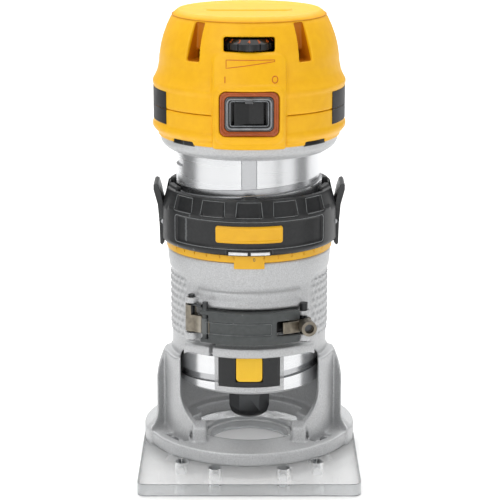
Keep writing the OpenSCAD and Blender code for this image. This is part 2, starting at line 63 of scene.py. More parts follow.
def material(name, tone, other, grain=300, rough=0.5, rough_var=0.1, metallic=0.0, bump=0.1,
             bump_grain=900, bump_depth=0.00012, edge=None, stretch=(1, 1, 1), **sockets):
    """A procedural finish: two tones mixed by noise, uneven roughness and a fine bump."""
    m = bpy.data.materials.new(name)
    m.use_nodes = True
    t = m.node_tree
    t.nodes.clear()
    out = t.nodes.new("ShaderNodeOutputMaterial")
    s = t.nodes.new("ShaderNodeBsdfPrincipled")
    t.links.new(s.outputs[0], out.inputs[0])
    co = t.nodes.new("ShaderNodeTexCoord")
    mapping = t.nodes.new("ShaderNodeMapping")
    mapping.inputs["Scale"].default_value = stretch
    t.links.new(co.outputs["Object"], mapping.inputs[0])

    def noise(scale, detail):
        n = t.nodes.new("ShaderNodeTexNoise")
        n.inputs["Scale"].default_value = scale
        n.inputs["Detail"].default_value = detail
        t.links.new(mapping.outputs[0], n.inputs["Vector"])
        return n

    blotch = noise(grain, 5)
    spread = t.nodes.new("ShaderNodeMapRange")
    spread.inputs["From Min"].default_value = 0.3
    spread.inputs["From Max"].default_value = 0.7
    t.links.new(blotch.outputs[0], spread.inputs["Value"])
    mix = t.nodes.new("ShaderNodeMix")
    mix.data_type = "RGBA"
    mix.inputs[6].default_value = tone
    mix.inputs[7].default_value = other
    t.links.new(spread.outputs[0], mix.inputs[0])
    colour = mix.outputs[2]
    # lighter colour where the mesh is pointy: partly edge wear, partly a painted highlight along the edges
    if edge:
        geo = t.nodes.new("ShaderNodeNewGeometry")
        edge_wear_highlight_mask = t.nodes.new("ShaderNodeMapRange")
        edge_wear_highlight_mask.inputs["From Min"].default_value = 0.52
        edge_wear_highlight_mask.inputs["From Max"].default_value = 0.62
        edge_wear_highlight_mask.inputs["To Max"].default_value = 0.6
        t.links.new(geo.outputs["Pointiness"], edge_wear_highlight_mask.inputs["Value"])
        edge_wear_highlight_mix = t.nodes.new("ShaderNodeMix")
        edge_wear_highlight_mix.data_type = "RGBA"
        t.links.new(edge_wear_highlight_mask.outputs[0], edge_wear_highlight_mix.inputs[0])
        t.links.new(colour, edge_wear_highlight_mix.inputs[6])
        edge_wear_highlight_mix.inputs[7].default_value = edge
        colour = edge_wear_highlight_mix.outputs[2]
    t.links.new(colour, s.inputs["Base Color"])
    scuff = t.nodes.new("ShaderNodeMapRange")
    scuff.inputs["To Min"].default_value = max(rough - rough_var, 0.02)
    scuff.inputs["To Max"].default_value = min(rough + rough_var, 1)
    t.links.new(noise(grain * 0.6, 4).outputs[0], scuff.inputs["Value"])
    t.links.new(scuff.outputs[0], s.inputs["Roughness"])
    relief = t.nodes.new("ShaderNodeBump")
    relief.inputs["Strength"].default_value = bump
    relief.inputs["Distance"].default_value = bump_depth
    t.links.new(noise(bump_grain, 3).outputs[0], relief.inputs["Height"])
    t.links.new(relief.outputs[0], s.inputs["Normal"])
    s.inputs["Metallic"].default_value = metallic
    for key, value in sockets.items():
        s.inputs[key.replace("_", " ").title().replace("Ior", "IOR")].default_value = value
    return m


CAST = material("cast_aluminium", lin(172, 173, 174), lin(198, 199, 200), 1700, 0.44, 0.08, 0.35, 0.45, 2600,
                0.00018, lin(222, 223, 224))
TURNED = material("turned_aluminium", lin(216, 217, 219), lin(222, 223, 224), 90, 0.27, 0.015, 0.9, 0.012,
                  500, 0.00003, stretch=(0.12, 0.12, 5))
CLEAR = material("clear_plastic", lin(250, 251, 252), lin(254, 254, 254), 60, 0.04, 0.02, 0.0, 0.05, 120,
                 0.00005, transmission_weight=0.55, ior=1.49)


def thin(m, share):
    """Lets part of the light straight through, so a clear piece hardly shades what is under it."""
    t = m.node_tree
    out = next(n for n in t.nodes if n.type == "OUTPUT_MATERIAL")
    body = out.inputs[0].links[0].from_socket
    mix = t.nodes.new("ShaderNodeMixShader")
    mix.inputs[0].default_value = share
    t.links.new(body, mix.inputs[1])
    t.links.new(t.nodes.new("ShaderNodeBsdfTransparent").outputs[0], mix.inputs[2])
    t.links.new(mix.outputs[0], out.inputs[0])


thin(CLEAR, 0.5)
# grey-tinted full glass for the plate's upright faces; the grey tint is painted shade for the dark look of
# the cut edges
RIM_SHADE = material("clear_rim_shaded", lin(206, 210, 212), lin(226, 229, 231), 60, 0.02, 0.01, 0.0, 0.35, 130, 0.0006,
               transmission_weight=1.0, ior=1.49)
STEEL = material("steel", lin(150, 151, 153), lin(176, 177, 179), 400, 0.34, 0.1, 1.0, 0.1)
NICKEL = material("dull_nickel", lin(98, 92, 82), lin(136, 129, 116), 350, 0.36, 0.12, 0.85, 0.2, 700,
                  0.00012, lin(176, 170, 158))
LEVER = material("lever_metal", lin(66, 69, 69), lin(76, 79, 79), 500, 0.4, 0.06, 0.4, 0.2, 1500, 0.0001,
                 lin(126, 129, 129))
BLACK = material("ring_plastic", lin(27, 28, 29), lin(36, 37, 38), 700, 0.36, 0.06, 0.0, 0.3, 2000, 0.0001,
                 lin(112, 115, 116), specular_ior_level=0.4)
# light grey for lines along recess edges: painted highlights where edges catch the light
GLINT = material("painted_edge_glint", lin(104, 107, 108), lin(128, 131, 132), 500, 0.4, 0.06)
# dark grey for lines along the clear plate's edges: painted shade
ARRIS_SHADE = material("clear_edge_shade", lin(92, 96, 98), lin(120, 124, 126), 300, 0.2, 0.05)
INKY = material("black_plastic", lin(14, 15, 16), lin(23, 24, 25), 500, 0.3, 0.06, 0.0, 0.2, 1200, 0.0001,
                lin(84, 86, 88), specular_ior_level=0.4)
YELLOW = material("yellow_plastic", lin(236, 174, 4), lin(241, 182, 8), 260, 0.46, 0.05, 0.0, 0.22, 2000,
                  0.0001, lin(246, 204, 60), specular_ior_level=0.35)
RING_YELLOW = material("scale_yellow", lin(224, 166, 8), lin(230, 174, 12), 260, 0.4, 0.06, 0.0, 0.2, 1500,
                       0.0001)
# darker orange for the frame round the switch: painted shade for the shaded walls of the switch recess
ORANGE_RECESS_SHADE = material("orange_plastic", lin(150, 66, 14), lin(168, 78, 20), 300, 0.3, 0.06, 0.0, 0.2, 1400,
                  0.0001, lin(196, 112, 52))
INK_ORANGE = material("orange_ink", lin(190, 84, 12), lin(198, 92, 18), 400, 0.5, 0.05)
# darker yellow for a line round the crown: painted shadow
CROWN_SHADOW = material("crown_painted_shadow", lin(196, 128, 2), lin(204, 136, 4), 260, 0.5, 0.05, specular_ior_level=0.2)
SATIN = material("satin_aluminium", lin(206, 207, 208), lin(222, 223, 224), 500, 0.34, 0.08, 0.8, 0.1)
FILM = material("label_film", lin(30, 30, 31), lin(38, 38, 39), 300, 0.5, 0.06, 0.0, 0.1, 900, 0.00005,
                specular_ior_level=0.3)
RUBBER = material("black_rubber", lin(34, 34, 35), lin(46, 46, 47), 500, 0.72, 0.08, 0.0, 0.3, 1400, 0.00014)
BOOT = material("switch_boot", lin(44, 46, 48), lin(58, 60, 62), 260, 0.16, 0.05, 0.0, 0.1, 900, 0.00006,
                lin(150, 152, 154), coat_weight=0.6)
# light grey for lines along the switch boot's frame: painted highlights
BOOT_RIM_GLINT = material("boot_rim_glint", lin(120, 123, 126), lin(150, 153, 156), 260, 0.2, 0.05, 0.0, 0.1, 900,
                    0.00006)
BOARD = material("circuit_board", lin(36, 92, 58), lin(48, 110, 70), 700, 0.42, 0.1, 0.0, 0.3)
BRASS = material("brass", lin(190, 156, 86), lin(206, 174, 104), 400, 0.3, 0.1, 1.0, 0.1)
CARBON = material("carbon", lin(38, 38, 40), lin(56, 56, 58), 900, 0.6, 0.1, 0.1, 0.4)
IRON = material("laminations", lin(118, 120, 122), lin(142, 144, 146), 300, 0.46, 0.1, 0.7, 0.3, 900, 0.0002,
                stretch=(1, 1, 12))
COPPER = material("copper", lin(176, 98, 54), lin(200, 122, 74), 500, 0.34, 0.1, 0.9, 0.4, 1200, 0.0002,
                  stretch=(1, 1, 3))
OXIDE = material("black_oxide", lin(27, 28, 29), lin(40, 41, 42), 400, 0.3, 0.08, 0.5, 0.12, 900, 0.0001,
                 lin(92, 94, 96))
LENS = material("lamp_lens", lin(232, 238, 243), lin(245, 248, 250), 300, 0.1, 0.04, 0.0, 0.05, 500, 0.00005,
                transmission_weight=0.7)
FLOOR = material("floor", lin(250, 250, 250), lin(252, 252, 252), 2, 0.9, 0.02, 0.0, 0.02, 60, 0.0001)
CARD = material("grey_card", lin(96, 97, 98), lin(104, 105, 106), 3, 0.9, 0.02)

BY_SLOT = {
    "cast_aluminium": CAST, "machined_aluminium": TURNED, "clear_plastic": CLEAR, "steel": STEEL,
    "clamp_steel": NICKEL, "lever_metal": LEVER, "black_plastic": INKY, "yellow_plastic": YELLOW,
    "orange_plastic": ORANGE_RECESS_SHADE, "pointer_metal": SATIN, "label_film": FILM, "black_rubber": RUBBER,
    "boot_rubber": BOOT, "circuit_board": BOARD, "brass": BRASS, "carbon": CARBON,
    "lamination_steel": IRON, "copper": COPPER, "black_steel": OXIDE, "lamp_lens": LENS}


def tools(t):
    """Node maths on the object's own coordinates, in metres."""
    co = t.nodes.new("ShaderNodeTexCoord")
    xyz = t.nodes.new("ShaderNodeSeparateXYZ")
    t.links.new(co.outputs["Object"], xyz.inputs[0])

    def op(kind, a, b):
        n = t.nodes.new("ShaderNodeMath")
        n.operation = kind
        for i, v in enumerate((a, b)):
            if v is None:
                continue
            if isinstance(v, (int, float)):
                n.inputs[i].default_value = v
            else:
                t.links.new(v, n.inputs[i])
        return n.outputs[0]

    return (op, *(xyz.outputs[i] for i in range(3)))


def tint(m, mask, colour):
    """Mixes a colour into a finish where the mask is one."""
    t = m.node_tree
    s = next(n for n in t.nodes if n.type == "BSDF_PRINCIPLED")
    mix = t.nodes.new("ShaderNodeMix")
    mix.data_type = "RGBA"
    t.links.new(mask, mix.inputs[0])
    t.links.new(s.inputs["Base Color"].links[0].from_socket, mix.inputs[6])
    mix.inputs[7].default_value = colour
    t.links.new(mix.outputs[2], s.inputs["Base Color"])


def shade_upright_faces(o, finish):
    """Gives the upright faces of a clear plate a darker glass finish: painted shade for the dark look of its
    cut edges.
    """
    o.data.materials.append(finish)
    for p in o.data.polygons:
        if abs(p.normal.z) < 0.5:
            p.material_index = 1


def soften(o, width=0.35, segments=2, angle=34):
    """Rounds a CAD node's edges for looks, without moving its faces."""
    w = o.modifiers.new("join", "WELD")
    w.merge_threshold = 2e-6
    b = o.modifiers.new("round", "BEVEL")
    b.width = width * MM
    b.segments = segments
    b.limit_method = "ANGLE"
    b.angle_limit = math.radians(angle)
    b.use_clamp_overlap = True
    b.harden_normals = False
    n = o.modifiers.new("shade", "WEIGHTED_NORMAL")
    n.keep_sharp = True


SOFTENED = {
    "clamp_bracket": 0.3, "clamp_link": 0.35, "clamp_nut": 0.25, "clamp_hinge_pins": 0.25,
    "release_tab_left": 0.5, "release_tab_right": 0.5, "scale_ring": 0.12, "ring_pointer": 0.12,
    "speed_dial": 0.25, "collet_nut": 0.3,
    "collet": 0.15, "lock_housing": 0.3, "sub_base": 0.35, "cord_gland": 0.4, "label_plates": 0.05,
    "tab_pivot_pins": 0.2}
for s in frame["record"]["subparts"]:
    o = nodes[s["node"]]
    o.data.materials.clear()
    o.data.materials.append(BY_SLOT[s["material_slot"]])
    if s["node"] in SOFTENED:
        soften(o, SOFTENED[s["node"]])
for n, finish in (("release_tab_left", BLACK), ("release_tab_right", BLACK), ("scale_ring", RING_YELLOW),
                  ("clamp_hinge_pins", OXIDE)):
    nodes[n].data.materials[0] = finish
shade_upright_faces(nodes["sub_base"], RIM_SHADE)


# ---------- solid shapes as distance fields, in millimetres ----------

class Grid:
    """Sample points of a box, with radius and azimuth about the spindle (0 at the front, towards +X)."""

    def __init__(self, lo, hi, h):
        self.h = h * COARSE
        self.lo = np.array(lo, float) - 3 * self.h
        n = np.ceil((np.array(hi) + 3 * self.h - self.lo) / self.h).astype(int) + 1
        axes = [(self.lo[i] + self.h * np.arange(n[i])).astype(np.float32) for i in range(3)]
        self.x, self.y, self.z = axes[0][:, None, None], axes[1][None, :, None], axes[2][None, None, :]
        self.r = np.hypot(self.x, self.y)
        self.az = np.degrees(np.arctan2(self.x, -self.y))


def outline(px, py, pts):
    """Signed distance to a closed polygon."""
    d = np.full(np.broadcast(px, py).shape, 1e9, np.float32)
    inside = np.zeros(d.shape, bool)
    for (ax, ay), (bx, by) in zip(pts, pts[1:] + pts[:1]):
        ex, ey = bx - ax, by - ay
        if ex == 0 and ey == 0:
            continue
        wx, wy = px - ax, py - ay
        t = np.clip((wx * ex + wy * ey) / (ex * ex + ey * ey), 0, 1)
        d = np.minimum(d, (wx - ex * t) ** 2 + (wy - ey * t) ** 2)
        if ey:
            inside ^= ((ay > py) != (by > py)) & (px < ex * (py - ay) / ey + ax)
    return np.where(inside, -1, 1).astype(np.float32) * np.sqrt(d)


def revolve(g, pts):
    step = g.h / 2
    rs = np.arange(0, float(g.r.max()) + 2 * step, step, dtype=np.float32)
    table = outline(rs[:, None], g.z[0, 0][None, :], pts)
    at = g.r[:, :, 0] / step
    i = at.astype(int)
    f = (at - i)[:, :, None].astype(np.float32)
    return table[i] * (1 - f) + table[i + 1] * f


def rect(u, v, u0, v0, u1, v1, r=0.0):
    """Rounded rectangle in two coordinates."""
    qu = np.abs(u - (u0 + u1) / 2) - (u1 - u0) / 2 + r
    qv = np.abs(v - (v0 + v1) / 2) - (v1 - v0) / 2 + r
    return np.hypot(np.maximum(qu, 0), np.maximum(qv, 0)) + np.minimum(np.maximum(qu, qv), 0) - r


def slab(u, u0, u1):
    return np.abs(u - (u0 + u1) / 2) - (u1 - u0) / 2


def box(g, lo, hi):
    return np.maximum(np.maximum(slab(g.x, lo[0], hi[0]), slab(g.y, lo[1], hi[1])), slab(g.z, lo[2], hi[2]))


def disc2(u, v, cu, cv, r):
    return np.hypot(u - cu, v - cv) - r


def post(g, p, r, z0, z1):
    return np.maximum(disc2(g.x, g.y, p[0], p[1], r), slab(g.z, z0, z1))


def rod_y(g, x, z, r, y0, y1):
    return np.maximum(disc2(g.x, g.z, x, z, r), slab(g.y, y0, y1))


def wedge(g, a0, a1):
    """Between two azimuths up to 180 degrees apart."""
    def side(a, s):
        a = math.radians(a)
        return s * (g.x * math.cos(a) + g.y * math.sin(a))
    return np.maximum(side(a1, 1), side(a0, -1))


def sector(g, r1, r0, z0, z1, a0, a1):
    return np.maximum(np.maximum(slab(g.r, r0, r1), slab(g.z, z0, z1)), wedge(g, a0, a1))


def cut(a, b, k=0.0):
    return join(a, -b, k, -1)


def both(a, b, k=0.0):
    return join(a, b, k, -1)


def join(a, b, k=0.0, sign=1):
    """Union with a fillet of about k (sign 1), or intersection (sign -1)."""
    if not k:
        return np.minimum(a, b) if sign > 0 else np.maximum(a, b)
    h = np.maximum(k - np.abs(a - b), 0) / k
    return np.minimum(a, b) - h * h * k / 4 if sign > 0 else np.maximum(a, b) + h * h * k / 4


def ease(f, passes, limit=6.0):
    """Rounds every edge a little by averaging the field."""
    f = np.clip(f, -limit, limit)
    for _ in range(passes):
        for ax in range(3):
            a = np.concatenate([f.take([0], ax), f.take(range(f.shape[ax] - 1), ax)], ax)
            b = np.concatenate([f.take(range(1, f.shape[ax]), ax), f.take([-1], ax)], ax)
            f = (a + 2 * f + b) / 4
    return f


def new_object(name, data):
    o = bpy.data.objects.new(name, data)
    bpy.context.scene.collection.objects.link(o)
    return o


def place(o, body, slot, *replaced):
    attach(o, body)
    if replaced:
        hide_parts(*replaced)
    return o


def shell_mesh(g, field, name, mat, body, slot, *replaced, passes=1, shift=None):
    """Turns a field into a closed mesh that rides on a body."""
    f = ease(np.broadcast_to(field, (g.x.size, g.y.size, g.z.size)).astype(np.float32), passes)
    grid = vdb.FloatGrid(6.0)
    grid.copyFromArray(np.ascontiguousarray(f))
    pts, tris, quads = grid.convertToPolygons(0.0, 0.0)
    v = g.lo + g.h * pts
    faces = np.asarray(quads)
    a, b, c, d = (v[faces[:, i]] for i in range(4))
    volume = (np.einsum("ij,ij->i", a, np.cross(b, c)) + np.einsum("ij,ij->i", a, np.cross(c, d))).sum()
    if volume < 0:
        faces = faces[:, ::-1]
    if shift is not None:
        v = shift(v)
    me = bpy.data.meshes.new(name)
    me.vertices.add(len(v))
    me.vertices.foreach_set("co", (v * MM).astype(np.float32).ravel())
    me.loops.add(faces.size)
    me.loops.foreach_set("vertex_index", faces.ravel().astype(np.int32))
    me.polygons.add(len(faces))
    me.polygons.foreach_set("loop_start", (4 * np.arange(len(faces))).astype(np.int32))
    me.update(calc_edges=True)
    me.validate()
    me.polygons.foreach_set("use_smooth", np.ones(len(me.polygons), bool))
    me.materials.append(mat)
    return place(new_object(name, me), body, slot, *replaced)


# ---------- base casting ----------

BRACKET, LEVER_PIVOT, LINK = (-26.8, -31.8), (-20.3, -37.9), (25.3, -34)
FLANGE = 11.9


PAD_AT, PAD_ARC = 88, 0.66     # middle of each grip pad in degrees, and millimetres per degree round it
DOT_Z, DOT_ROW, DOT_STEP = 60, 3.5, 4.0


def window(g):
    """The front opening, drawn in X and Z."""
    x, z = np.abs(g.x), g.z
    w = rect(x, z, -1, 34.4, 32.6, 48.3)
    w = np.minimum(w, rect(x, z, -1, 34.4, 25.6, 55.3))
    w = np.minimum(w, rect(x, z, -1, 16.8, 15, 36.8))
    w = np.minimum(w, rect(x, z, -1, 8.9, 20.2, 32.9))
    w = np.minimum(w, disc2(x, z, 15, 34.4, 17.6))
    return np.minimum(w, disc2(x, z, 25.6, 48.3, 7))


ARCH = [(30, 5), (44.4, 5), (44.4, 38), (43.9, 41.5), (42.9, 45), (41.4, 48.4), (39.2, 51.8), (36.2, 55),
        (32.4, 57.6), (28, 59.2), (22, 59.8), (0, 59.8), (0, 50), (20, 50)]


def base_field(g):
    ax = np.abs(g.x)
    body = revolve(g, [(35.5, 10.9), (38.5, 10.9), (38.5, 55), (37.7, 62), (37.7, 88), (38.7, 96.5),
                       (38.9, 100.5), (36.4, 100.5), (36.4, 107), (37.4, 107.6), (37.4, 110.2),
                       (34.58, 110.2), (34.58, 56.5), (35.5, 55.5)])
    # rib that runs up each leg and over the window
    rib = np.maximum(np.maximum(outline(ax, g.z, ARCH), slab(g.r, 36.6, 41.2)), g.y + 6)
    body = join(body, rib, 1.6)
    foot = outline(ax, g.y, [(34, 1.5), (37, -1.6), (48.6, -21.8), (54, -21.8), (54, -14), (44.6, -6.4),
                                       (40, 1.5)])
    flare = np.minimum(outline(ax, g.z, ARCH[:-3] + [(22, 5)]),
                       cut(rect(ax, g.z, 40, 5, 50.5, 19.9), disc2(ax, g.z, 52.4, 19.9, 8)))
    leg = np.maximum(np.maximum(flare, foot), slab(g.r, 37, 51))
    body = join(body, leg, 2.2)
    body = cut(body, np.maximum(window(g), g.y + 2), 0.9)
    # flange with its star-shaped opening
    disc = np.maximum(g.r - np.where(np.abs(g.az) < 67, 50.1, 51.0), slab(g.z, 5.7, FLANGE))
    star = np.maximum(g.r - 30.3, -disc2(ax, g.y, 31, 10, 7.4))
    disc = cut(disc, star, 0.5)
    sides = np.minimum(wedge(g, 43.8, 61.2), wedge(g, -61.2, -43.8))
    disc = cut(disc, np.maximum(np.maximum(slab(g.r, 39.8, 45.4), sides), FLANGE - 2.3 - g.z), 0.2)
    for p in ((30.3, -29.2), (36, -23.9), (36, 23.9)):
        disc = cut(disc, np.broadcast_to(disc2(ax, g.y, p[0], p[1], 2.2), disc.shape), 0.2)
    body = join(body, disc, 1.6)
    # collar lip over the window
    body = join(body, sector(g, 41.0, 36.5, 55.6, 59.6, -52, 52), 0.8)
    # hood over the lever
    hood = revolve(g, [(36.8, 86.6), (39.2, 86.4), (40.0, 85.4), (39.6, 83.6), (39.5, 81.9), (40.2, 81.1),
                       (41.1, 80.6), (41.2, 79.2), (40.4, 78.5), (36.8, 78.5)])
    hood = np.maximum(hood, np.maximum(wedge(g, -38.5, 38.5), -(g.x + 25.4) * 0.62 - (g.z - 82.2) * 0.78))
    body = join(body, hood, 0.45)
    # posts at the foot of the window
    stub = np.maximum(rect(ax, g.y, 20.2, -34, 26.8, -28, 0.9), slab(g.z, FLANGE - 0.5, 24))
    stub = np.maximum(stub, g.z - 18.8 - (g.y + 34) * 0.42)
    body = join(body, stub, 0.9)
    for p, z0, z1 in ((BRACKET, 62.4, 66.2), (BRACKET, 80, 83), (LINK, 62.4, 66.2), (LINK, 74.8, 77.9)):
        a, r = math.degrees(math.atan2(p[0], -p[1])), math.hypot(*p)
        ear = np.minimum(post(g, p, 3.1, z0, z1), box_at(g, a, 2.8, -r, -36, z0, z1))
        body = join(body, ear, 0.8)
    # the split that lets the collar close on the motor
    split = np.maximum(np.maximum(slab_at(g, -26, 0.8), slab(g.z, 54, 78)), g.y)
    body = cut(body, split)
    body = cut(body, sector(g, 45, 30, 77.2, 78.4, -34, 40))
    for p in (BRACKET, LINK):
        body = cut(body, post(g, p, 1.7, 60, 85))
    body = cut(body, rod_y(g, 0, 66, 3.2, 30, 45))
    # moulded grip pads, sunk a little at each side
    pad = rect((np.abs(g.az) - PAD_AT) * PAD_ARC, g.z, -26, 50, 26, 91, 7)
    pad = np.maximum(pad, 37.05 - g.r)
    return cut(body, pad, 0.25)


def slab_at(g, a, half):
    a = math.radians(a)
    return np.abs(g.x * math.cos(a) + g.y * math.sin(a)) - half


def box_at(g, a, half, r0, r1, z0, z1):
    """Box along the radius at azimuth a, between two distances given as in front of the axis."""
    t = math.radians(a)
    along = -(g.x * math.sin(t) - g.y * math.cos(t))
    return np.maximum(np.maximum(slab_at(g, a, half), slab(along, r0, r1)), slab(g.z, z0, z1))


def dimples(v):
    """Raised dots on the grip pads."""
    r, az = np.hypot(v[:, 0], v[:, 1]), np.degrees(np.arctan2(v[:, 0], -v[:, 1]))
    s, z = (np.abs(az) - PAD_AT) * PAD_ARC, v[:, 2]
    row = np.round((z - DOT_Z) / DOT_ROW)
    u = s / DOT_STEP + 0.5 * (row % 2)
    du, dz = (u - np.round(u)) * DOT_STEP, z - DOT_Z - row * DOT_ROW
    k = np.clip(1 - (du ** 2 + dz ** 2) / 2.0, 0, 1)
    on = (np.abs(s) < 23.5) & (z > DOT_Z) & (z < 88) & (r > 36.5) & (r < 37.6)
    lift = np.where(on, 0.75 * k, 0)
    out = v.copy()
    out[:, 0] += v[:, 0] / r * lift
    out[:, 1] += v[:, 1] / r * lift
    return out


g = Grid((-51.5, -51.5, 5.2), (51.5, 51.5, 110.8), 0.55)
shell_mesh(g, base_field(g), "base_body", CAST, "base", "cast_aluminium", "base_casting", shift=dimples)


# ---------- motor barrel ----------

BARREL, PITCH, FRONT_Z, END = 34.5, 12.7, 132.35, 297.0
GROOVE, GROOVE_D, KEY = 1.65, 1.3, 3.5
Z_LO, Z_HI = 36.7, 147.4


def sunk(a, z):
    """How far the barrel's surface lies below its full radius at an azimuth and height."""
    turn = (z - FRONT_Z) / PITCH - a / 360
    t = round(turn)
    off = (turn - t) * PITCH
    u = a + 360 * t
    wide = GROOVE * math.sqrt(max(0.0, 1 - max(0.0, (u - END + 3) / 3) ** 2)) if u < END else 0
    d = min(GROOVE_D, max(0.0, (wide + 0.12 - abs(off)) / 0.27 * GROOVE_D)) if wide else 0.0
    arc = math.radians(abs(a)) * BARREL
    if arc < KEY + 0.15 and z > 58:
        d = max(d, min(0.55, (KEY + 0.15 - arc) / 0.3 * 0.55))
    return d


def barrel():
    fine = [math.degrees(k / BARREL) for k in (-3.65, -3.5, -3.35, -3.2, 3.2, 3.35, 3.5, 3.65)]
    count = 300
    az = sorted([-180 + 360 * i / count for i in range(count)] + fine)
    offs = [-4.9, -3.4, -2.2, -1.85, -1.68, -1.53, -1.35, -0.6, 0.2, 0.9, 1.35, 1.53, 1.68, 1.85, 2.2, 3.4,
            4.9, 6.35]
    turns = list(range(-9, 3))
    rows = len(offs)
    verts, faces = [], []
    for a in az:
        for t in turns:
            for o in offs:
                z = min(max(FRONT_Z + PITCH * (a / 360 + t) + o, Z_LO), Z_HI)
                r = BARREL - sunk(a, min(max(z, Z_LO + 1e-6), Z_HI - 1e-6))
                verts.append((r, a, z))
    per = rows * len(turns)
    n = len(az)
    for i in range(n):
        j, skip = (i + 1) % n, (rows if i == n - 1 else 0)
        for k in range(per - 1):
            a0, a1, b0, b1 = i * per + k, i * per + k + 1, j * per + k + skip, j * per + k + 1 + skip
            if k + 1 + skip < per:
                faces.append((a0, b0, b1, a1))
            else:
                break
    # the rest of the turned profile, from the top edge round the inside to the bottom edge
    ring = [(37.6, 148.2), (39.2, 149.2), (40.4, 150.2), (41.2, 151.4), (41.6, 152.4), (41.85, 156.4),
            (41.5, 156.8), (38.8, 156.8), (38.2, 153), (31.4, 149), (31.4, 64), (13, 64), (13, 55),
            (27.4, 55), (29.4, 53),
            (29.4, 39), (11.5, 39), (11.5, 35.5), (33.2, 35.5)]
    base = len(verts)
    for a in az:
        top = BARREL - sunk(a, Z_HI - 1e-6)
        low = BARREL - sunk(a, Z_LO + 1e-6)
        for r, z in [(top, Z_HI)] + ring + [(low, Z_LO)]:
            verts.append((r, a, z))
    m = len(ring) + 2
    for i in range(n):
        j = (i + 1) % n
        for k in range(m - 1):
            faces.append((base + i * m + k, base + j * m + k, base + j * m + k + 1, base + i * m + k + 1))
    me = bpy.data.meshes.new("motor_barrel")
    me.from_pydata([(r * math.sin(math.radians(a)) * MM, -r * math.cos(math.radians(a)) * MM, z * MM)
                    for r, a, z in verts], [], faces)
    bm = bmesh.new()
    bm.from_mesh(me)
    bmesh.ops.remove_doubles(bm, verts=bm.verts, dist=2e-6)
    bmesh.ops.dissolve_degenerate(bm, edges=bm.edges, dist=1e-6)
    bmesh.ops.recalc_face_normals(bm, faces=bm.faces)
    bm.to_mesh(me)
    bm.free()
    o = new_object("motor_barrel", me)
    cutter = box_object("cutter", (-14.5, -40, 39.1), (14.5, -20, 54.3))
    b = o.modifiers.new("window", "BOOLEAN")
    b.object = cutter
    b.operation = "DIFFERENCE"
    b.solver = "EXACT"
    settle(o)
    bpy.data.objects.remove(cutter)
    o.data.materials.clear()
    o.data.materials.append(barrel_finish())
    o.data.polygons.foreach_set("use_smooth", np.ones(len(o.data.polygons), bool))
    sharp = o.modifiers.new("edges", "EDGE_SPLIT")
    sharp.split_angle = math.radians(28)
    settle(o)
    place(o, "motor", "machined_aluminium", "motor_housing")


def box_object(name, lo, hi):
    me = bpy.data.meshes.new(name)
    bm = bmesh.new()
    bmesh.ops.create_cube(bm, size=1)
    for v in bm.verts:
        v.co = Vector([((lo[i] + hi[i]) / 2 + v.co[i] * (hi[i] - lo[i])) * MM for i in range(3)])
    bm.to_mesh(me)
    bm.free()
    return new_object(name, me)


def settle(o):
    """Applies an object's modifiers."""
    dg = bpy.context.evaluated_depsgraph_get()
    me = bpy.data.meshes.new_from_object(o.evaluated_get(dg))
    o.modifiers.clear()
    o.data = me


def barrel_finish():
    """Bright turned metal, with cast metal on the flare, the ends and round the spindle lock."""
    m = TURNED.copy()
    m.name = "barrel_metal"
    t = m.node_tree
    s = next(n for n in t.nodes if n.type == "BSDF_PRINCIPLED")
    s.inputs["Anisotropic"].default_value = 0.3
    op, x, y, z = tools(t)
    # painted shade: the groove and keyways, below the full radius, are coloured darker than the ground
    # surface
    low = op("LESS_THAN", op("SQRT", op("ADD", op("MULTIPLY", x, x), op("MULTIPLY", y, y)), None), 0.03432)
    tint(m, low, lin(182, 183, 185))
    near = op("MULTIPLY", op("LESS_THAN", op("ABSOLUTE", x, None), 0.0163), op("LESS_THAN", z, 0.0566))
    near = op("MULTIPLY", near, op("LESS_THAN", y, 0))
    upper = op("GREATER_THAN", z, 0.1477)
    lower = op("LESS_THAN", z, 0.0362)
    mask = op("MAXIMUM", op("MAXIMUM", near, upper), lower)
    c = CAST.node_tree
    group = {}
    for n in c.nodes:
        if n.type == "OUTPUT_MATERIAL":
            continue
        k = t.nodes.new(n.bl_idname)
        for p in ("operation", "data_type"):
            if hasattr(n, p):
                setattr(k, p, getattr(n, p))
        for i, v in enumerate(n.inputs):
            if hasattr(v, "default_value"):
                k.inputs[i].default_value = v.default_value
        group[n] = k
    for link in c.links:
        if link.to_node.type != "OUTPUT_MATERIAL":
            a = list(link.from_node.outputs).index(link.from_socket)
            b = list(link.to_node.inputs).index(link.to_socket)
            t.links.new(group[link.from_node].outputs[a], group[link.to_node].inputs[b])
    cast = next(k for n, k in group.items() if n.type == "BSDF_PRINCIPLED")
    mix = t.nodes.new("ShaderNodeMixShader")
    t.links.new(mask, mix.inputs[0])
    t.links.new(s.outputs[0], mix.inputs[1])
    t.links.new(cast.outputs[0], mix.inputs[2])
    out = next(n for n in t.nodes if n.type == "OUTPUT_MATERIAL")
    t.links.new(mix.outputs[0], out.inputs[0])
    return m


barrel()


# ---------- motor covers ----------

CAP = [(29, 213.5), (33, 213.1), (34.9, 211.6), (36.9, 208.9), (38.8, 204.9), (40.2, 201.2), (41.2, 197.5),
       (41.9, 193.5), (42.2, 188.6), (43, 184.6), (44.2, 182), (45.2, 180.4), (45.2, 179), (44.7, 177.8)]
BOSS = [(41.9, 197.4), (43.6, 191.5), (45.2, 185.2), (46.3, 181.5), (46.5, 160), (45.6, 156.4), (44, 154.2)]


def cap_finish():
    """Yellow plastic, with painted shade: darker inside the air slots and the dial window."""
    m = YELLOW.copy()
    m.name = "cap_plastic_shaded"
    op, x, y, z = tools(m.node_tree)
    r = op("SQRT", op("ADD", op("MULTIPLY", x, x), op("MULTIPLY", y, y)), None)
    slope = op("ADD", r, op("MULTIPLY", op("SUBTRACT", z, 0.193), 0.31))
    inside = op("MULTIPLY", op("LESS_THAN", slope, 0.0408), op("LESS_THAN", z, 0.2101))
    # painted shade inside the air slots and the dial window
    tint(m, op("MULTIPLY", inside, op("GREATER_THAN", z, 0.19)), lin(196, 118, 4))
    return m


